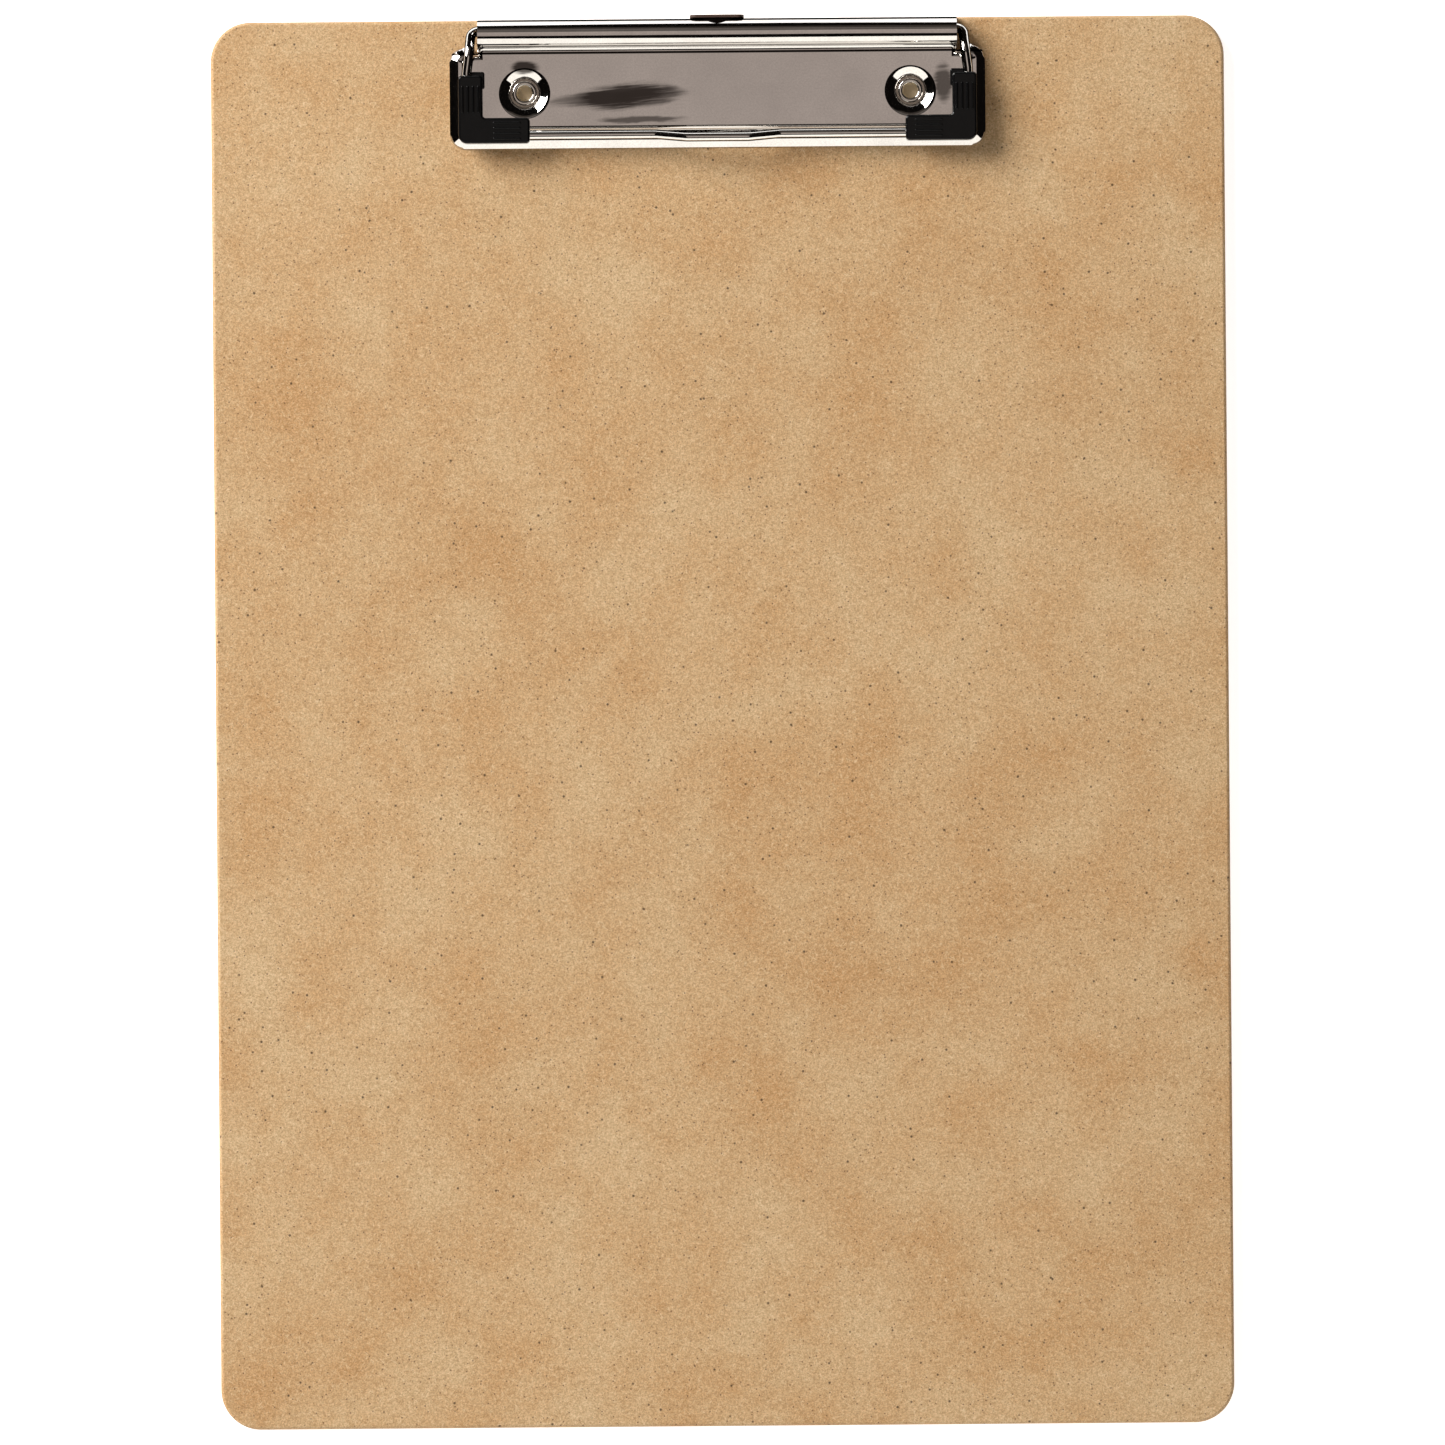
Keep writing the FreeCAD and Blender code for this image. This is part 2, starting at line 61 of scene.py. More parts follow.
BOARD_LOW, BOARD_HIGH = cad_box("board")
TRAY_LOW, TRAY_HIGH = cad_box("clip_base_plate")
WIRE_LOW, WIRE_HIGH = cad_box("wire_bail")
TAIL_LOW, TAIL_HIGH = cad_box("spring_tail_right")
GRIP_LOW, GRIP_HIGH = cad_box("corner_grip_right")
RIVET_LOW, RIVET_HIGH = cad_box("rivet_right")
TAB_LOW, TAB_HIGH = cad_box("hanging_tab")
FACE = BOARD_HIGH.z

# Creases sharper than these angles, in degrees, stay crisp
BOARD_CREASE = 30
FORMED_CREASE = 35
ROUND_CREASE = 40

# Board
BOARD_CORNER_RADIUS = 9.0
BOARD_EDGE_ROUND = 0.8
RIVET_HOLE_RADIUS = 2.1
POCKET_CLEARANCE = 0.1
POCKET_DEPTH = 0.85

# Wire
WIRE_RADIUS = 1.1
WIRE_END_ROUND = 0.2
WIRE_BEND_RADII = (1.8, 4.0, 4.0, 3.0, 4.0, 4.0)
TORSION_RUN_END = 12.0
ARM_START_INSET = 1.1
ARM_BEND_INSET = 0.6
ARM_BEND_REACH = 5.0
ARM_BEND_RISE = 2.7
ARM_LANDING_REACH = 9.4
ARM_LANDING_RISE = 0.3
BULGE_FOOT_X = 14.0
BULGE_TOP_X = 7.0
BULGE_REACH = 0.7
BULGE_RISE = 1.8
TAIL_BEND_RADII = (1.5, 4.0)
TAIL_DROP_REACH = 2.5

# Corner grips
GRIP_RIB_HEIGHT = 0.25
GRIP_INNER_X = 52.9
GRIP_BACK_OF_FRONT_LEG = 136.5
DECK_TOP = FACE + 3.12
DECK_SIDE = 56.85
DECK_FRONT = 133.45
RIB_COUNT = 4
RIB_PITCH = 1.2
RIB_HALF_WIDTH = 0.275
RIB_CORNER_RADIUS = 0.26
RIB_FOOT_ROUND = 0.02
RIB_TOP_ROUND = 0.24
RIB_SINK = 0.3
ARM_RIB_SPAN = (8.5, 2.3)
FRONT_RIB_SPAN = (2.1, 8.3)
GRIP_CORNER_RADIUS = 0.9
GRIP_OUTER_CORNER_RADIUS = 2.0
GRIP_INNER_CORNER_RADIUS = 0.7
GRIP_BOTTOM_ROUND = 0.15
GRIP_TOP_ROUND = 0.55
FOOT_X = (52.45, 55.7)
FOOT_LENGTH = 3.0
FOOT_OVERHANG = 0.85
FOOT_HEIGHT = 1.18
FOOT_CORNER_RADIUS = 0.5
FOOT_BOTTOM_ROUND = 0.1
FOOT_TOP_ROUND = 0.35
DECK_SPACE_REAR = 160.0
DECK_SPACE_CORNER_RADIUS = 0.03
CHANNEL_CLEARANCE = 0.01

# Rivets
RIVET_HEAD_THICKNESS = 0.75
RIVET_SHANK_RADIUS = 2.05
ROLLED_END_RADIUS = 2.8
RIVET_BORE_RADIUS = 1.72
RIVET_BORE_DEPTH = 2.6
HEAD_EDGE_ROUND = 0.3
HEAD_FLAT_INSET = 1.6
HEAD_HOLLOW = 0.02
ROLL_FOOT_ABOVE_FACE = 0.6
ROLL_CREST_HEIGHT = 0.5
ROLL_SIDE_POWER = 0.7
ROLL_TOP_POWER = 0.8
BORE_FLOOR_EDGE = 0.25
BORE_FLOOR_RADIUS = 1.5
BORE_FLOOR_HOLLOW = 0.03
BORE_MARGIN = 0.1

# Hanging tab
TAB_THICKNESS = 0.8
TAB_TONGUE_HALF_WIDTH = 6.0
TAB_SHOULDER_LENGTH = 3.0
TAB_HOLE_RADIUS = 2.5
TAB_HOLE_Y = 153.9
TAB_LIP_THICKNESS = 0.65
TAB_LIP_HALF_WIDTH = 6.1
TAB_CORNER_RADIUS = 0.8
TAB_TONGUE_CORNER_RADIUS = 0.3
TAB_EDGE_ROUND = 0.12
LIP_FOOT_RADIUS = 0.1
LIP_TOP_RADIUS = 1.6
LIP_EDGE_ROUND = 0.1


# Mesh helpers

def make_piece(name, vertices, faces):
    """A mesh object from vertices in millimetres, with all its faces turned outwards."""
    mesh = bpy.data.meshes.new(name)
    mesh.from_pydata([Vector(vertex) * MM for vertex in vertices], [], faces)
    skin = bmesh.new()
    skin.from_mesh(mesh)
    bmesh.ops.recalc_face_normals(skin, faces=skin.faces)
    skin.to_mesh(mesh)
    skin.free()
    piece = bpy.data.objects.new(name, mesh)
    bpy.context.scene.collection.objects.link(piece)
    return piece


def apply_modifiers(piece):
    """Makes the piece's modifiers part of its mesh."""
    bpy.context.view_layer.update()
    graph = bpy.context.evaluated_depsgraph_get()
    old = piece.data
    piece.data = bpy.data.meshes.new_from_object(piece.evaluated_get(graph), depsgraph=graph)
    piece.modifiers.clear()
    bpy.data.meshes.remove(old)


def combine(piece, others, operation):
    """Joins other pieces to this one, or cuts them out of it, and removes them."""
    for other in others:
        modifier = piece.modifiers.new("combine", "BOOLEAN")
        modifier.object = other
        modifier.operation = operation
        modifier.solver = "EXACT"
        apply_modifiers(piece)
        bpy.data.objects.remove(other)


def shade(piece, sharp_degrees):
    """Smooth shading with sharp creases, where the larger faces set each vertex's normal."""
    piece.data.shade_smooth()
    piece.data.set_sharp_from_angle(angle=math.radians(sharp_degrees))
    modifier = piece.modifiers.new("normals", "WEIGHTED_NORMAL")
    modifier.mode = "FACE_AREA"
    modifier.keep_sharp = True
    apply_modifiers(piece)
    return piece


def ring_faces(ring_count, count):
    """Quads between rings of points that follow each other."""
    faces = []
    for ring in range(ring_count - 1):
        low, high = ring * count, (ring + 1) * count
        for index in range(count):
            after = (index + 1) % count
            faces.append((low + index, low + after, high + after, high + index))
    return faces


def loft(name, rings):
    """A solid through rings of points, capped at both ends."""
    count = len(rings[0])
    vertices = [point for ring in rings for point in ring]
    faces = ring_faces(len(rings), count)
    faces.append(tuple(range(count)))
    faces.append(tuple(range(len(vertices) - count, len(vertices))))
    return make_piece(name, vertices, faces)


def circle(centre, axes, radius, sides=40):
    """Points of a circle about a centre, in the plane of two axes."""
    points = []
    for step in range(sides):
        angle = 2 * math.pi * step / sides
        points.append(centre + axes[0] * (radius * math.cos(angle)) + axes[1] * (radius * math.sin(angle)))
    return points


def lathe(name, profile, x, y, segments=72):
    """A solid of revolution about an upright axis, from (radius, height) pairs between two poles."""
    level = (Vector((1, 0, 0)), Vector((0, 1, 0)))
    rings = [circle(Vector((x, y, height)), level, radius, segments) for radius, height in profile[1:-1]]
    vertices = [point for ring in rings for point in ring]
    faces = ring_faces(len(rings), segments)
    for (_, height), ring in ((profile[0], 0), (profile[-1], len(rings) - 1)):
        pole = len(vertices)
        vertices.append(Vector((x, y, height)))
        for index in range(segments):
            after = (index + 1) % segments
            faces.append((ring * segments + index, ring * segments + after, pole))
    return make_piece(name, vertices, faces)


def polygon(corners, inset, segments):
    """Points round an anticlockwise outline of (x, y, radius) corners, moved inwards by inset."""
    points = []
    for index, (x, y, radius) in enumerate(corners):
        before = (Vector((x, y)) - Vector(corners[index - 1][:2])).normalized()
        after = (Vector(corners[(index + 1) % len(corners)][:2]) - Vector((x, y))).normalized()
        normal_before = Vector((-before.y, before.x))
        normal_after = Vector((-after.y, after.x))
        shift = (normal_before + normal_after) * (inset / (1 + normal_before.dot(normal_after)))
        corner = Vector((x, y)) + shift
        convex = 1 if before.x * after.y - before.y * after.x > 0 else -1
        rounding = max(radius - convex * inset, 0.03)
        turn = before.angle(after)
        start = corner - before * (rounding * math.tan(turn / 2))
        centre = start + normal_before * (rounding * convex)
        for step in range(segments + 1):
            swing = Matrix.Rotation(convex * turn * step / segments, 2)
            points.append(centre + swing @ (start - centre))
    return points


def round_profile(low, high, radius_low, radius_high, steps=8):
    """(inset, level) pairs up a wall whose lower and upper edges are rounded."""
    turns = [math.pi / 2 * step / steps for step in range(steps + 1)]
    bottom = [(radius_low * (1 - math.cos(turn)), low + radius_low * (1 - math.sin(turn))) for turn in turns]
    top = [(radius_high * (1 - math.cos(turn)), high - radius_high * (1 - math.sin(turn))) for turn in turns]
    return bottom[::-1] + top


def slab(name, corners, profile, segments=8, standing=False):
    """A solid with the given outline, whose wall follows (inset, level) pairs up Z, or along Y."""
    rings = []
    for inset, level in profile:
        outline = polygon(corners, inset, segments)
        if standing:
            rings.append([(place.x, level, place.y) for place in outline])
        else:
            rings.append([(place.x, place.y, level) for place in outline])
    return loft(name, rings)


def rectangle(x_low, x_high, y_low, y_high, radius):
    """The corners of a rounded rectangle."""
    places = ((x_low, y_low), (x_high, y_low), (x_high, y_high), (x_low, y_high))
    return [(x, y, radius) for x, y in places]


def bent_path(corners, radii, step_degrees=4):
    """Points along straight runs through corners, joined by tangent arcs of the given radii."""
    points = [Vector(corners[0])]
    for index in range(1, len(corners) - 1):
        corner = Vector(corners[index])
        before = (Vector(corners[index - 1]) - corner).normalized()
        after = (Vector(corners[index + 1]) - corner).normalized()
        radius = radii[index - 1]
        half_angle = before.angle(after) / 2
        middle = corner + (before + after).normalized() * (radius / math.sin(half_angle))
        start = corner + before * (radius / math.tan(half_angle))
        turn = math.pi - 2 * half_angle
        axis = before.cross(after).normalized()
        steps = max(2, math.ceil(math.degrees(turn) / step_degrees))
        for step in range(steps + 1):
            swing = Matrix.Rotation(-turn * step / steps, 3, axis)
            points.append(middle + swing @ (start - middle))
    points.append(Vector(corners[-1]))
    return points


def rounded_end(place, inward, axes, radius, end_round, steps=5):
    """Rings from a wire's flat end to its full radius."""
    rings = []
    for step in range(steps + 1):
        angle = math.pi / 2 * step / steps
        centre = place + inward * (end_round * (1 - math.cos(angle)))
        rings.append(circle(centre, axes, radius - end_round * (1 - math.sin(angle))))
    return rings


def tube(name, path, radius, end_round):
    """Round wire along a path of points, with slightly rounded ends."""
    last = len(path) - 1
    tangents = [(path[min(i + 1, last)] - path[max(i - 1, 0)]).normalized() for i in range(last + 1)]
    side = tangents[0].orthogonal().normalized()
    rings = []
    for index, (place, tangent) in enumerate(zip(path, tangents)):
        side = (side - tangent * side.dot(tangent)).normalized()
        axes = (side, tangent.cross(side))
        if index == 0:
            rings += rounded_end(place, tangent, axes, radius, end_round)
        elif index == last:
            rings += rounded_end(place, -tangent, axes, radius, end_round)[::-1]
        else:
            rings.append(circle(place, axes, radius))
    return loft(name, rings)


# Pieces

def make_board():
    """The hardboard slab with its rivet holes and the pockets for the rivets' heads."""
    corners = rectangle(BOARD_LOW.x, BOARD_HIGH.x, BOARD_LOW.y, BOARD_HIGH.y, BOARD_CORNER_RADIUS)
    profile = round_profile(BOARD_LOW.z, FACE, BOARD_EDGE_ROUND, BOARD_EDGE_ROUND)
    board = slab("hardboard_panel", corners, profile, 24)
    centre = (RIVET_LOW + RIVET_HIGH) / 2
    pocket_radius = RIVET_HIGH.x - centre.x + POCKET_CLEARANCE
    for _, side in SIDES:
        cutters = []
        for radius, low, high in ((pocket_radius, -1, POCKET_DEPTH), (RIVET_HOLE_RADIUS, 0.5, FACE + 1)):
            profile = [(0, low), (radius, low), (radius, high), (0, high)]
            cutters.append(lathe("cutter", profile, side * centre.x, centre.y))
        combine(board, cutters, "DIFFERENCE")
    return shade(board, BOARD_CREASE)


def copy_of_node(name, node):
    """A new piece with the CAD node's exact surface, its faces merged into one skin."""
    piece = bpy.data.objects.new(name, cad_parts[node].data.copy())
    piece.data.name = name
    bpy.context.scene.collection.objects.link(piece)
    piece.data.materials.clear()
    modifier = piece.modifiers.new("weld", "WELD")
    modifier.merge_threshold = 0.001 * MM
    apply_modifiers(piece)
    return piece


def right_wire_corners():
    """The wire's centre line from its barrel run to the middle of the finger bulge."""
    rear_y = WIRE_HIGH.y - WIRE_RADIUS
    axis_z = WIRE_LOW.z + WIRE_RADIUS
    arm_x = WIRE_HIGH.x - WIRE_RADIUS
    bulge_y = WIRE_LOW.y + WIRE_RADIUS
    bulge_z = WIRE_HIGH.z - WIRE_RADIUS
    front_y = bulge_y + BULGE_REACH
    front_z = bulge_z - BULGE_RISE
    return [
        (TORSION_RUN_END, rear_y, axis_z),
        (arm_x - ARM_START_INSET, rear_y, axis_z),
        (arm_x - ARM_BEND_INSET, rear_y - ARM_BEND_REACH, axis_z + ARM_BEND_RISE),
        (arm_x, rear_y - ARM_LANDING_REACH, front_z + ARM_LANDING_RISE),
        (arm_x, front_y, front_z),
        (BULGE_FOOT_X, front_y, front_z),
        (BULGE_TOP_X, bulge_y, bulge_z),
    ]


def make_wire():
    """The bail: one bent wire from the left barrel run round the front to the right one."""
    right = right_wire_corners()
    left = [(-x, y, z) for x, y, z in reversed(right)]
    path = bent_path(right + left, WIRE_BEND_RADII + WIRE_BEND_RADII[::-1])
    return shade(tube("bail_wire", path, WIRE_RADIUS, WIRE_END_ROUND), ROUND_CREASE)


def make_tail(name, side):
    """A spring tail: the wire's end, turned forward under the deck."""
    x = TAIL_LOW.x + WIRE_RADIUS
    rear_y = TAIL_HIGH.y - WIRE_RADIUS
    axis_z = TAIL_HIGH.z - WIRE_RADIUS
    floor_z = TAIL_LOW.z + WIRE_RADIUS
    corners = [
        (side * TAIL_HIGH.x, rear_y, axis_z),
        (side * x, rear_y, axis_z),
        (side * x, rear_y - TAIL_DROP_REACH, floor_z),
        (side * x, TAIL_LOW.y, floor_z),
    ]
    path = bent_path(corners, TAIL_BEND_RADII)
    return shade(tube(name, path, WIRE_RADIUS, WIRE_END_ROUND), ROUND_CREASE)


def rib(x_low, x_high, y_low, y_high, low, high):
    """A soft-edged bar that stands up from a grip."""
    outline = rectangle(x_low, x_high, y_low, y_high, RIB_CORNER_RADIUS)
    return slab("rib", outline, round_profile(low, high, RIB_FOOT_ROUND, RIB_TOP_ROUND, 4), 5)


def make_grip(name):
    """The right-hand rubber grip: an L with soft edges, four ribs on each leg and a rear foot."""
    outer, end = GRIP_HIGH.x, GRIP_LOW.x
    front, rear = GRIP_LOW.y, GRIP_HIGH.y
    top = GRIP_HIGH.z - GRIP_RIB_HEIGHT
    corners = [
        (end, front, GRIP_CORNER_RADIUS),
        (outer, front, GRIP_OUTER_CORNER_RADIUS),
        (outer, rear, GRIP_CORNER_RADIUS),
        (GRIP_INNER_X, rear, GRIP_CORNER_RADIUS),
        (GRIP_INNER_X, GRIP_BACK_OF_FRONT_LEG, GRIP_INNER_CORNER_RADIUS),
        (end, GRIP_BACK_OF_FRONT_LEG, GRIP_CORNER_RADIUS),
    ]
    grip = slab(name, corners, round_profile(GRIP_LOW.z, top, GRIP_BOTTOM_ROUND, GRIP_TOP_ROUND), 10)
    foot_outline = rectangle(*FOOT_X, rear - FOOT_LENGTH, rear + FOOT_OVERHANG, FOOT_CORNER_RADIUS)
    foot_profile = round_profile(DECK_TOP, DECK_TOP + FOOT_HEIGHT, FOOT_BOTTOM_ROUND, FOOT_TOP_ROUND)
    extras = [slab("foot", foot_outline, foot_profile, 6)]
    for index in range(RIB_COUNT):
        offset = (index - (RIB_COUNT - 1) / 2) * RIB_PITCH
        x = (outer + GRIP_INNER_X) / 2 + offset
        y = (front + GRIP_BACK_OF_FRONT_LEG) / 2 + offset
        low, high = top - RIB_SINK, GRIP_HIGH.z
        arm_span = [rear - reach for reach in ARM_RIB_SPAN]
        front_span = [end + reach for reach in FRONT_RIB_SPAN]
        extras.append(rib(x - RIB_HALF_WIDTH, x + RIB_HALF_WIDTH, *arm_span, low, high))
        extras.append(rib(*front_span, y - RIB_HALF_WIDTH, y + RIB_HALF_WIDTH, low, high))
    combine(grip, extras, "UNION")
    deck_outline = rectangle(0, DECK_SIDE, DECK_FRONT, DECK_SPACE_REAR, DECK_SPACE_CORNER_RADIUS)
    deck = slab("deck_space", deck_outline, [(0, 0), (0, DECK_TOP)], 1)
    path = bent_path(right_wire_corners()[2:], WIRE_BEND_RADII[2:5])
    channel = tube("channel", path, WIRE_RADIUS + CHANNEL_CLEARANCE, WIRE_END_ROUND)
    combine(grip, [deck, channel], "DIFFERENCE")
    return grip


def mirror(piece, name):
    """The piece's mirror image across the centre plane."""
    twin = bpy.data.objects.new(name, piece.data.copy())
    bpy.context.scene.collection.objects.link(twin)
    twin.data.transform(Matrix.Scale(-1, 4, (1, 0, 0)))
    twin.data.flip_normals()
    return twin


def rivet_profile():
    """(radius, height) pairs round a semi-tubular rivet, from its head's middle to its bore's."""
    head_radius = (RIVET_HIGH.x - RIVET_LOW.x) / 2
    head_low, rolled_top = RIVET_LOW.z, RIVET_HIGH.z
    head_high = head_low + RIVET_HEAD_THICKNESS
    rolled_low = FACE + ROLL_FOOT_ABOVE_FACE
    profile = [(0, head_low), (head_radius - HEAD_FLAT_INSET, head_low + HEAD_HOLLOW)]
    for step in range(9):
        angle = math.pi / 2 * step / 8
        radius = head_radius - HEAD_EDGE_ROUND + HEAD_EDGE_ROUND * math.sin(angle)
        profile.append((radius, head_low + HEAD_EDGE_ROUND - HEAD_EDGE_ROUND * math.cos(angle)))
    profile += [
        (head_radius, head_high), (RIVET_SHANK_RADIUS, head_high),
        (RIVET_SHANK_RADIUS, rolled_low), (ROLLED_END_RADIUS, rolled_low),
    ]
    middle = (ROLLED_END_RADIUS + RIVET_BORE_RADIUS) / 2
    half_width = (ROLLED_END_RADIUS - RIVET_BORE_RADIUS) / 2
    for step in range(17):
        angle = math.pi * step / 16
        reach = math.copysign(abs(math.cos(angle)) ** ROLL_SIDE_POWER, math.cos(angle))
        rise = ROLL_CREST_HEIGHT * math.sin(angle) ** ROLL_TOP_POWER
        profile.append((middle + half_width * reach, rolled_top - ROLL_CREST_HEIGHT + rise))
    floor = rolled_top - RIVET_BORE_DEPTH
    return profile + [
        (RIVET_BORE_RADIUS, floor + BORE_FLOOR_EDGE),
        (BORE_FLOOR_RADIUS, floor + BORE_FLOOR_HOLLOW),
        (0, floor),
    ]


def make_rivet(name, side, plate, bore):
    """A semi-tubular rivet: flat head at the back, rolled end in the cup, dull bore."""
    centre = (RIVET_LOW + RIVET_HIGH) / 2
    rivet = shade(lathe(name, rivet_profile(), side * centre.x, centre.y), ROUND_CREASE)
    rivet.data.materials.append(plate)
    rivet.data.materials.append(bore)
    bore_low = RIVET_HIGH.z - RIVET_BORE_DEPTH - BORE_MARGIN
    bore_high = RIVET_HIGH.z - ROLL_CREST_HEIGHT - BORE_MARGIN
    for face in rivet.data.polygons:
        place = face.center / MM
        radius = math.hypot(place.x - side * centre.x, place.y - centre.y)
        if radius < RIVET_BORE_RADIUS and bore_low < place.z < bore_high:
            face.material_index = 1
    return rivet


def make_tab():
    """The sliding hanging tab: tongue, stop shoulders, nail hole and upturned lip."""
    low, rear, inner = TAB_LOW.z, TAB_HIGH.y, TAB_LOW.y
    half_width, shoulder_rear = TAB_TONGUE_HALF_WIDTH, inner + TAB_SHOULDER_LENGTH
    corners = [
        (TAB_LOW.x, inner, TAB_CORNER_RADIUS),
        (TAB_HIGH.x, inner, TAB_CORNER_RADIUS),
        (TAB_HIGH.x, shoulder_rear, TAB_CORNER_RADIUS),
        (half_width, shoulder_rear, TAB_TONGUE_CORNER_RADIUS),
        (half_width, rear, TAB_TONGUE_CORNER_RADIUS),
        (-half_width, rear, TAB_TONGUE_CORNER_RADIUS),
        (-half_width, shoulder_rear, TAB_TONGUE_CORNER_RADIUS),
        (TAB_LOW.x, shoulder_rear, TAB_CORNER_RADIUS),
    ]
    profile = round_profile(low, low + TAB_THICKNESS, TAB_EDGE_ROUND, TAB_EDGE_ROUND, 4)
    tab = slab("tab_plate", corners, profile, 5)
    lip_corners = [
        (-TAB_LIP_HALF_WIDTH, low, LIP_FOOT_RADIUS),
        (TAB_LIP_HALF_WIDTH, low, LIP_FOOT_RADIUS),
        (TAB_LIP_HALF_WIDTH, TAB_HIGH.z, LIP_TOP_RADIUS),
        (-TAB_LIP_HALF_WIDTH, TAB_HIGH.z, LIP_TOP_RADIUS),
    ]
    lip_profile = round_profile(rear - TAB_LIP_THICKNESS, rear, LIP_EDGE_ROUND, LIP_EDGE_ROUND, 4)
    lip = slab("lip", lip_corners, lip_profile, 8, standing=True)
    combine(tab, [lip], "UNION")
    hole = [(0, 0), (TAB_HOLE_RADIUS, 0), (TAB_HOLE_RADIUS, 9), (0, 9)]
    combine(tab, [lathe("hole", hole, 0, TAB_HOLE_Y)], "DIFFERENCE")
    return shade(tab, FORMED_CREASE)


# Material helpers

def new_material(name):
    """A node material with its tree, its main shader and the object's own coordinates."""
    material = bpy.data.materials.new(name)
    material.use_nodes = True
    tree = material.node_tree
    place = tree.nodes.new("ShaderNodeTexCoord").outputs["Object"]
    return material, tree, tree.nodes["Principled BSDF"], place


def add(tree, kind, inputs, **settings):
    """A shader node with its settings, and its inputs set or linked."""
    node = tree.nodes.new(kind)
    for key, value in settings.items():
        setattr(node, key, value)
    for key, value in inputs.items():
        if isinstance(value, bpy.types.NodeSocket):
            tree.links.new(value, node.inputs[key])
        else:
            node.inputs[key].default_value = value
    return node


def ramp(tree, source, stops, interpolation="LINEAR"):
    """A colour ramp over a value, from (position, grey or colour) stops."""
    node = add(tree, "ShaderNodeValToRGB", {"Fac": source})
    node.color_ramp.interpolation = interpolation
    elements = node.color_ramp.elements
    while len(elements) < len(stops):
        elements.new(0.5)
    for element, (position, colour) in zip(elements, stops):
        element.position = position
        element.color = (*colour, 1) if isinstance(colour, tuple) else (colour, colour, colour, 1)
    return node.outputs["Color"]


def noise_of(tree, vector, scale, detail=3.0, roughness=0.55):
    """Fractal noise at a number of cells per metre."""
    inputs = {"Vector": vector, "Scale": scale, "Detail": detail, "Roughness": roughness}
    return add(tree, "ShaderNodeTexNoise", inputs).outputs["Fac"]


def mix(tree, factor, first, second, blend="MIX"):
    """A blend of two colours."""
    inputs = {0: factor}
    for key, value in ((6, first), (7, second)):
        inputs[key] = (*value, 1) if isinstance(value, tuple) else value
    return add(tree, "ShaderNodeMix", inputs, data_type="RGBA", blend_type=blend).outputs[2]


def fitted(tree, place, centre, turn_degrees, size):
    """Coordinates about a centre, turned and divided by a size along each of their axes."""
    rotation = (0, 0, math.radians(turn_degrees))
    inputs = {"Vector": place, "Location": centre, "Rotation": rotation, "Scale": size}
    return add(tree, "ShaderNodeMapping", inputs, vector_type="TEXTURE").outputs[0]


def bump(tree, height, distance, normal=None):
    """A bump from a height, with its full depth in metres."""
    inputs = {"Height": height, "Distance": distance, "Strength": 1.0}
    if normal is not None:
        inputs["Normal"] = normal
    return add(tree, "ShaderNodeBump", inputs).outputs["Normal"]


# Materials

# The board's face: its two tones, and what its broad patches and its grain multiply them by
BOARD_TONES = ((0.612, 0.416, 0.224), (0.556, 0.326, 0.147))
PATCH_TINTS = [(0.36, (1.02, 1.03, 1.05)), (0.64, (0.97, 0.94, 0.91))]
GRAIN_TINTS = [(0.30, (0.66, 0.60, 0.48)), (0.70, (1.31, 1.39, 1.54))]

# The board's fibres: their tones, their directions in degrees, and their length, width and depth in metres
LIGHT_FIBRE = (0.86, 0.69, 0.45)
DARK_FIBRE = (0.34, 0.19, 0.085)
FIBRE_TURNS = (12, 58, 101, 149)
FIBRE_SIZE = (0.0013, 0.00022, 0.0005)

# Dark flecks in the board: cells to a metre, a fleck's radius as a share of its cell, and its tone
FLECKS = ((260, 0.095, (0.035, 0.015, 0.006)), (700, 0.16, (0.11, 0.048, 0.019)))

# The layers that show in the board's sawn edge: their size in metres, and their tones
LAYER_SIZE = (0.003, 0.003, 0.00025)
LAYER_TONES = [(0.3, (0.23, 0.13, 0.06)), (0.7, (0.48, 0.31, 0.16))]

# Nickel plate: its colour, its roughness and the depth of its waves in metres
SHEET_PLATE = ((0.66, 0.635, 0.61), 0.035, 0.00006)
WIRE_PLATE = ((0.70, 0.68, 0.65), 0.04, 0.00001)
RIVET_PLATE = ((0.70, 0.67, 0.62), 0.08, 0.00001)

# The two tones of each of the other materials
RUBBER_TONES = ((0.002, 0.002, 0.0022), (0.005, 0.005, 0.005))
LACQUER_TONES = ((0.075, 0.046, 0.036), (0.20, 0.145, 0.11))
BORE_TONES = ((0.58, 0.50, 0.38), (0.80, 0.71, 0.56))

# Painted dark reflections on the deck, where dents would mirror dark surroundings: their centre, turn in
# degrees, half length and half width, and strength
PAINTED_REFLECTION_MARKS = (
    ((-27.5, 140.7), 5, (14.0, 1.7), 0.60),
    ((-21.0, 141.2), 6, (14.0, 3.6), 0.97),
    ((-15.5, 141.4), 5, (10.0, 2.6), 0.60),
    ((-43.3, 148.0), 0, (3.9, 2.0), 0.97),
    ((-17.0, 135.9), 1, (12.0, 1.0), 0.75),
    ((51.0, 143.9), 4, (2.6, 5.4), 0.80),
)

# The painted reflections' tone, and in metres how deep they reach and how far noise bends their outlines
PAINTED_REFLECTION_TONE = (0.055, 0.047, 0.043)
PAINTED_REFLECTION_DEPTH = 0.05
PAINTED_REFLECTION_WARP = Vector((0.004, 0.002, 0.0))

# Painted dark reflections along the barrel's foot and its rear shoulder, as dark lines: the first and last Y,
# and the shoulder's lowest Z
PAINTED_FOOT_REFLECTION_LINE = (150.95, 151.35)
PAINTED_REAR_REFLECTION_LINE = (158.20, 159.00)
PAINTED_REAR_REFLECTION_BOTTOM = 6.1
LINE_SOFTNESS = 0.12

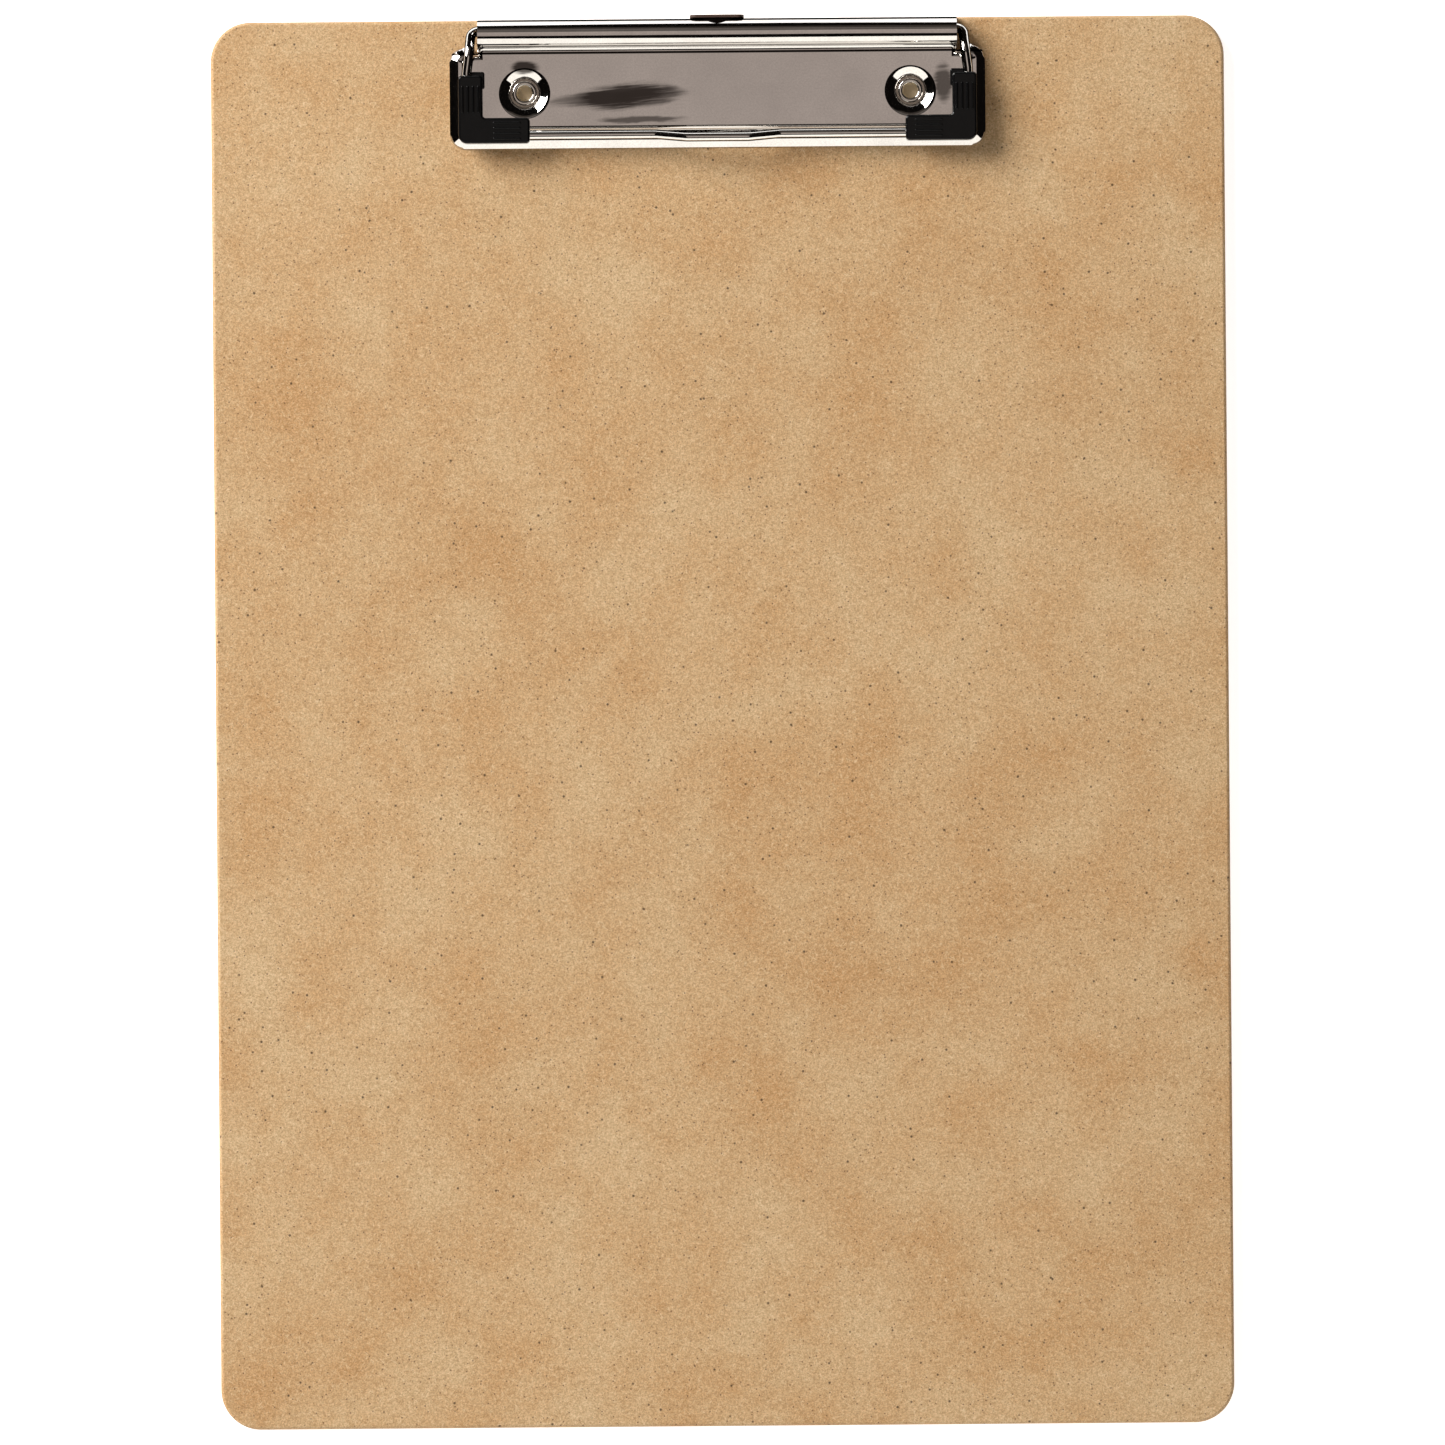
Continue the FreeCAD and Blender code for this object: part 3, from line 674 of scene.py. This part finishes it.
# Painted dark reflections on the wire's flanks: stops of how far up the surface faces, and how dark it is
# there
PAINTED_FLANK_REFLECTION_STOPS = [(0.0, 0.0), (0.08, 1.0), (0.50, 1.0), (0.61, 0.0)]
# The tone of the painted dark reflections on the wire's flanks and along the tray's folds
PAINTED_DARK_REFLECTION_TONE = (0.010, 0.008, 0.006)


def hardboard():
    """Tan pressed wood fibre: tangled fibres, dark flecks, faint reddish clouds and sawn edges."""
    material, tree, shader, place = new_material("hardboard_fibre")
    clouds = ramp(tree, noise_of(tree, place, 45, 5.0, 0.66), [(0.36, 0.0), (0.66, 1.0)])
    colour = mix(tree, clouds, *BOARD_TONES)
    patches = ramp(tree, noise_of(tree, place, 11, 2.0), PATCH_TINTS)
    colour = mix(tree, 1.0, colour, patches, "MULTIPLY")
    grain = noise_of(tree, place, 2600, 3.0, 0.75)
    colour = mix(tree, 1.0, colour, ramp(tree, grain, GRAIN_TINTS), "MULTIPLY")
    for turn in FIBRE_TURNS:
        streaks = noise_of(tree, fitted(tree, place, (0, 0, 0), turn, FIBRE_SIZE), 1.0, 1.0)
        colour = mix(tree, ramp(tree, streaks, [(0.64, 0.0), (0.76, 0.45)]), colour, LIGHT_FIBRE)
        colour = mix(tree, ramp(tree, streaks, [(0.24, 0.5), (0.36, 0.0)]), colour, DARK_FIBRE)
    for cells_per_metre, radius, tone in FLECKS:
        cells = add(tree, "ShaderNodeTexVoronoi", {"Vector": place, "Scale": cells_per_metre})
        fleck = ramp(tree, cells.outputs["Distance"], [(0.55 * radius, 0.8), (radius, 0.0)])
        colour = mix(tree, fleck, colour, tone)
    height = add(tree, "ShaderNodeSeparateXYZ", {0: place}).outputs["Z"]
    depth = add(tree, "ShaderNodeMath", {0: height, 1: 1 / (FACE * MM)}, operation="MULTIPLY").outputs[0]
    sides = ramp(tree, depth, [(0.02, 0.0), (0.16, 0.6), (0.84, 0.6), (0.98, 0.0)])
    layers = noise_of(tree, fitted(tree, place, (0, 0, 0), 0, LAYER_SIZE), 1.0, 2.0)
    colour = mix(tree, sides, colour, ramp(tree, layers, LAYER_TONES))
    tree.links.new(colour, shader.inputs["Base Color"])
    tree.links.new(ramp(tree, grain, [(0.3, 0.52), (0.7, 0.66)]), shader.inputs["Roughness"])
    shader.inputs["Specular IOR Level"].default_value = 0.3
    tree.links.new(bump(tree, grain, 0.00004), shader.inputs["Normal"])
    return material


def darken(tree, shader, factor, tone):
    """Blends a metal's colour, both head on and at a slant, towards a tone by a factor."""
    for socket in (shader.inputs["Base Color"], shader.inputs["Specular Tint"]):
        before = socket.links[0].from_socket if socket.links else tuple(socket.default_value)[:3]
        tree.links.new(mix(tree, factor, before, tone), socket)


def plating(name, colour, roughness, wave_depth):
    """Bright nickel plate: faint waves from stamping, fine grain and a few duller spots."""
    material, tree, shader, place = new_material(name)
    tone = ramp(tree, noise_of(tree, place, 90, 5.0), [(0.3, 0.93), (0.7, 1.06)])
    grain = ramp(tree, noise_of(tree, place, 2400, 2.0, 0.6), [(0.3, 0.94), (0.7, 1.06)])
    tinted = mix(tree, 1.0, colour, tone, "MULTIPLY")
    tree.links.new(mix(tree, 1.0, tinted, grain, "MULTIPLY"), shader.inputs["Base Color"])
    shader.inputs["Metallic"].default_value = 1.0
    spots = noise_of(tree, place, 700, 4.0, 0.7)
    tree.links.new(ramp(tree, spots, [(0.35, roughness), (0.75, roughness * 2)]), shader.inputs["Roughness"])
    normal = bump(tree, noise_of(tree, place, 55, 1.5, 0.4), wave_depth)
    normal = bump(tree, noise_of(tree, place, 1500, 2.0, 0.5), 0.0000005, normal)
    tree.links.new(normal, shader.inputs["Normal"])
    return material


def wire_plating():
    """The wire's nickel plate, with painted dark reflections along its flanks."""
    material = plating("plated_wire_bright", *WIRE_PLATE)
    tree = material.node_tree
    direction = tree.nodes["Texture Coordinate"].outputs["Normal"]
    upwards = add(tree, "ShaderNodeSeparateXYZ", {0: direction}).outputs["Z"]
    # Painted dark reflections: the colour darkens where the wire's surface faces sideways
    darken(tree, tree.nodes["Principled BSDF"], ramp(tree, upwards, PAINTED_FLANK_REFLECTION_STOPS), PAINTED_DARK_REFLECTION_TONE)
    return material


def tray_plating():
    """The tray's nickel plate, with painted dark reflections on its deck and as dark lines along its folds.
    """
    material = plating("plated_sheet_bright", *SHEET_PLATE)
    tree = material.node_tree
    shader = tree.nodes["Principled BSDF"]
    place = tree.nodes["Texture Coordinate"].outputs["Object"]
    warp = add(tree, "ShaderNodeTexNoise", {"Vector": place, "Scale": 130.0, "Detail": 3.0}).outputs["Color"]
    terms = {0: warp, 1: PAINTED_REFLECTION_WARP, 2: place}
    warped = add(tree, "ShaderNodeVectorMath", terms, operation="MULTIPLY_ADD").outputs[0]
    streaks = noise_of(tree, fitted(tree, place, (0, 0, 0), 5, (0.012, 0.0006, 0.01)), 1.0, 3.0, 0.6)
    # Painted dark reflections: each mark darkens the deck's colour
    for (x, y), turn, (half_length, half_width), strength in PAINTED_REFLECTION_MARKS:
        centre = Vector((x, y, FACE)) * MM + PAINTED_REFLECTION_WARP / 2
        shape = fitted(tree, warped, centre, turn, (half_length * MM, half_width * MM, PAINTED_REFLECTION_DEPTH))
        spot = add(tree, "ShaderNodeTexGradient", {"Vector": shape}, gradient_type="SPHERICAL").outputs["Fac"]
        patchy = mix(tree, 1.0, spot, ramp(tree, streaks, [(0.3, 0.55), (0.7, 1.45)]), "MULTIPLY")
        darken(tree, shader, ramp(tree, patchy, [(0.0, 0.0), (0.5, strength)], "EASE"), PAINTED_REFLECTION_TONE)
    position = add(tree, "ShaderNodeSeparateXYZ", {0: place}).outputs
    bottom, top = (PAINTED_REAR_REFLECTION_BOTTOM - LINE_SOFTNESS) * MM, (PAINTED_REAR_REFLECTION_BOTTOM + LINE_SOFTNESS) * MM
    shoulder = add(tree, "ShaderNodeMapRange", {"Value": position["Z"], "From Min": bottom, "From Max": top})
    # Painted dark reflections: dark lines along the barrel's foot and its rear shoulder
    for (first, last), strength in ((PAINTED_FOOT_REFLECTION_LINE, 1.0), (PAINTED_REAR_REFLECTION_LINE, shoulder.outputs["Result"])):
        low, high = (first - LINE_SOFTNESS) * MM, (last + LINE_SOFTNESS) * MM
        across = add(tree, "ShaderNodeMapRange", {"Value": position["Y"], "From Min": low, "From Max": high})
        edge = LINE_SOFTNESS * MM / (high - low)
        line = ramp(tree, across.outputs["Result"], [(0.0, 0.0), (edge, 1.0), (1 - edge, 1.0), (1.0, 0.0)])
        factor = add(tree, "ShaderNodeMath", {0: line, 1: strength}, operation="MULTIPLY").outputs[0]
        darken(tree, shader, factor, PAINTED_DARK_REFLECTION_TONE)
    return material


def rubber():
    """Glossy black moulded rubber with a faint grain."""
    material, tree, shader, place = new_material("grip_rubber_black")
    grain = noise_of(tree, place, 2600, 3.0)
    tree.links.new(mix(tree, grain, *RUBBER_TONES), shader.inputs["Base Color"])
    shader.inputs["Specular IOR Level"].default_value = 0.18
    wear = noise_of(tree, place, 500, 3.0)
    tree.links.new(ramp(tree, wear, [(0.3, 0.10), (0.7, 0.20)]), shader.inputs["Roughness"])
    tree.links.new(bump(tree, grain, 0.000008), shader.inputs["Normal"])
    return material


def lacquer():
    """Dark brown lacquer on steel, rubbed thin in places."""
    material, tree, shader, place = new_material("tab_lacquer_brown")
    rub = noise_of(tree, place, 900, 4.0, 0.65)
    worn = ramp(tree, rub, [(0.62, 0.0), (0.74, 1.0)])
    tree.links.new(mix(tree, worn, *LACQUER_TONES), shader.inputs["Base Color"])
    tree.links.new(ramp(tree, rub, [(0.3, 0.34), (0.75, 0.55)]), shader.inputs["Roughness"])
    shader.inputs["Specular IOR Level"].default_value = 0.25
    tree.links.new(bump(tree, rub, 0.000006), shader.inputs["Normal"])
    return material


def bore_metal():
    """The dull, tan-grey inside of a rivet's bore."""
    material, tree, shader, place = new_material("rivet_bore_dull")
    grime = noise_of(tree, place, 1500, 4.0, 0.7)
    tree.links.new(mix(tree, grime, *BORE_TONES), shader.inputs["Base Color"])
    shader.inputs["Metallic"].default_value = 0.2
    tree.links.new(ramp(tree, grime, [(0.3, 0.5), (0.7, 0.75)]), shader.inputs["Roughness"])
    tree.links.new(bump(tree, grime, 0.00002), shader.inputs["Normal"])
    return material


# Studio, in metres

FLOOR_GLOW = 0.75
TENT_RADIUS = 4.2
TENT_TONE = (0.006, 0.005, 0.0045, 1)
WORLD_TONE = (0.93, 0.93, 0.93, 1)

# Soft boxes round the clip: compass angle, half width, distance, lowest and highest elevation, radiance and
# colour. Angles are in degrees.
SOFT_BOXES = (
    ("front_box", 270, 55, 1.35, (0, 47), 1.55, (1.0, 0.97, 0.91)),
    ("rear_box", 95, 20, 1.35, (0, 15), 1.9, (1.0, 1.0, 1.0)),
    ("low_fill", 90, 30, 0.6, (36, 58), 0.05, (1.0, 0.84, 0.72)),
    ("high_fill", 90, 34, 0.6, (58, 76), 0.14, (1.0, 0.88, 0.80)),
    ("key_box", 146, 20, 2.0, (16, 42), 19.4, (1.0, 0.985, 0.96)),
)

# The round card overhead: its diameter, its place from the clip's middle, its radiance and colour
CARD_DIAMETER = 0.80
CARD_PLACE = Vector((0, -0.171, 1.5))
CARD_RADIANCE = 0.48
CARD_COLOUR = (1.0, 0.864, 0.791)

# The camera's lens and sensor in millimetres, its height, and its turn in degrees
LENS = 288.0
SENSOR = 36.0
CAMERA_HEIGHT = 2.6107
CAMERA_TURN = -0.458


def area_light(name, shape, size, place, target, radiance, colour):
    """A soft box of a given radiance that the camera itself doesn't see."""
    light = bpy.data.lights.new(name, "AREA")
    light.shape = shape
    light.size = size[0]
    area = size[0] * size[-1]
    if shape == "RECTANGLE":
        light.size_y = size[1]
    else:
        area *= math.pi / 4
    light.energy = radiance * math.pi * area
    light.color = colour
    lamp = bpy.data.objects.new(name, light)
    lamp.location = place
    lamp.rotation_euler = (Vector(target) - Vector(place)).to_track_quat("-Z", "Y").to_euler()
    lamp.visible_camera = False
    bpy.context.scene.collection.objects.link(lamp)


def soft_box(centre, name, azimuth, half_width, distance, elevations, radiance, colour):
    """A soft box round a centre, from its compass and elevation angles in degrees."""
    low, high = [math.radians(elevation) for elevation in elevations]
    middle = (low + high) / 2
    heading = Vector((math.cos(math.radians(azimuth)), math.sin(math.radians(azimuth)), 0))
    width = 2 * distance * math.tan(math.radians(half_width))
    if low == 0:
        height = distance * math.tan(high)
        place = centre + heading * distance + Vector((0, 0, height / 2))
        target = centre + Vector((0, 0, height / 2))
    else:
        height = 2 * distance / math.cos(middle) * math.tan((high - low) / 2)
        place = centre + heading * distance + Vector((0, 0, distance * math.tan(middle)))
        target = centre
    area_light(name, "RECTANGLE", (width, height), place, target, radiance, colour)


def make_floor():
    """A wide, faintly mottled white floor."""
    material, tree, shader, place = new_material("floor_white")
    tone = noise_of(tree, place, 3, 2.0)
    tree.links.new(mix(tree, tone, (0.92, 0.92, 0.92), (0.95, 0.95, 0.95)), shader.inputs["Base Color"])
    shader.inputs["Roughness"].default_value = 0.9
    shader.inputs["Emission Color"].default_value = (1, 1, 1, 1)
    shader.inputs["Emission Strength"].default_value = FLOOR_GLOW
    half, depth = 8000, -0.03
    corners = [(-half, -half, depth), (half, -half, depth), (half, half, depth), (-half, half, depth)]
    floor = make_piece("floor", corners, [(0, 1, 2, 3)])
    floor.data.materials.append(material)
    return floor


def make_tent():
    """A dark dome that surrounds the lights and that only reflections see."""
    material, _, shader, _ = new_material("tent_dark")
    shader.inputs["Base Color"].default_value = TENT_TONE
    shader.inputs["Specular IOR Level"].default_value = 0.0
    radius = TENT_RADIUS / MM
    profile = [(0, -1), (radius, -1)]
    for step in range(1, 17):
        angle = math.pi / 2 * step / 17
        profile.append((radius * math.cos(angle), radius * math.sin(angle)))
    tent = lathe("tent", profile + [(0, radius)], 0, 0, 48)
    tent.data.materials.append(material)
    tent.visible_camera = False
    return tent


def make_studio():
    """A white floor and a dark tent, with soft boxes round the clip and a round card overhead."""
    make_floor()
    make_tent()
    clip = Vector((0, (TRAY_LOW.y + TRAY_HIGH.y) / 2 * MM, 0))
    for box in SOFT_BOXES:
        soft_box(clip, *box)
    card = clip + CARD_PLACE
    below = card - Vector((0, 0, 1))
    area_light("top_card", "DISK", (CARD_DIAMETER,), card, below, CARD_RADIANCE, CARD_COLOUR)
    world = bpy.data.worlds.new("studio")
    world.use_nodes = True
    world.node_tree.nodes["Background"].inputs["Color"].default_value = WORLD_TONE
    bpy.context.scene.world = world
    bpy.context.scene.view_settings.view_transform = "Standard"


def make_camera():
    """A distant camera straight above the board, turned very slightly."""
    camera = bpy.data.cameras.new("camera")
    camera.lens = LENS
    camera.sensor_width = SENSOR
    camera.clip_start = 0.05
    camera.clip_end = 50
    holder = bpy.data.objects.new("camera", camera)
    holder.location = (0, 0, CAMERA_HEIGHT)
    holder.rotation_euler = (0, 0, math.radians(CAMERA_TURN))
    bpy.context.scene.collection.objects.link(holder)
    bpy.context.scene.camera = holder


def finish_piece(piece, material, body, node):
    """Gives a piece its material and its body, and hides the CAD node that it stands for."""
    if not piece.data.materials:
        piece.data.materials.append(material)
    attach(piece, body)
    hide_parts(node)


def make_clipboard():
    """Every visible piece of the clipboard, in place of the plain CAD nodes."""
    sheet_plate = tray_plating()
    wire_plate = wire_plating()
    rivet_plate = plating("rivet_plate", *RIVET_PLATE)
    bore = bore_metal()
    black = rubber()
    finish_piece(make_board(), hardboard(), "clipboard", "board")
    tray = shade(copy_of_node("clip_tray", "clip_base_plate"), FORMED_CREASE)
    finish_piece(tray, sheet_plate, "clipboard", "clip_base_plate")
    finish_piece(make_wire(), wire_plate, "bail", "wire_bail")
    finish_piece(make_tab(), lacquer(), "tab", "hanging_tab")
    right_grip = make_grip("grip_right")
    grips = {"right": right_grip, "left": mirror(right_grip, "grip_left")}
    for name, side in SIDES:
        tail = make_tail("tail_" + name, side)
        finish_piece(tail, wire_plate, "clipboard", "spring_tail_" + name)
        finish_piece(shade(grips[name], FORMED_CREASE), black, "bail", "corner_grip_" + name)
        rivet = make_rivet("rivet_rolled_" + name, side, rivet_plate, bore)
        finish_piece(rivet, rivet_plate, "clipboard", "rivet_" + name)


make_camera()
make_studio()
make_clipboard()
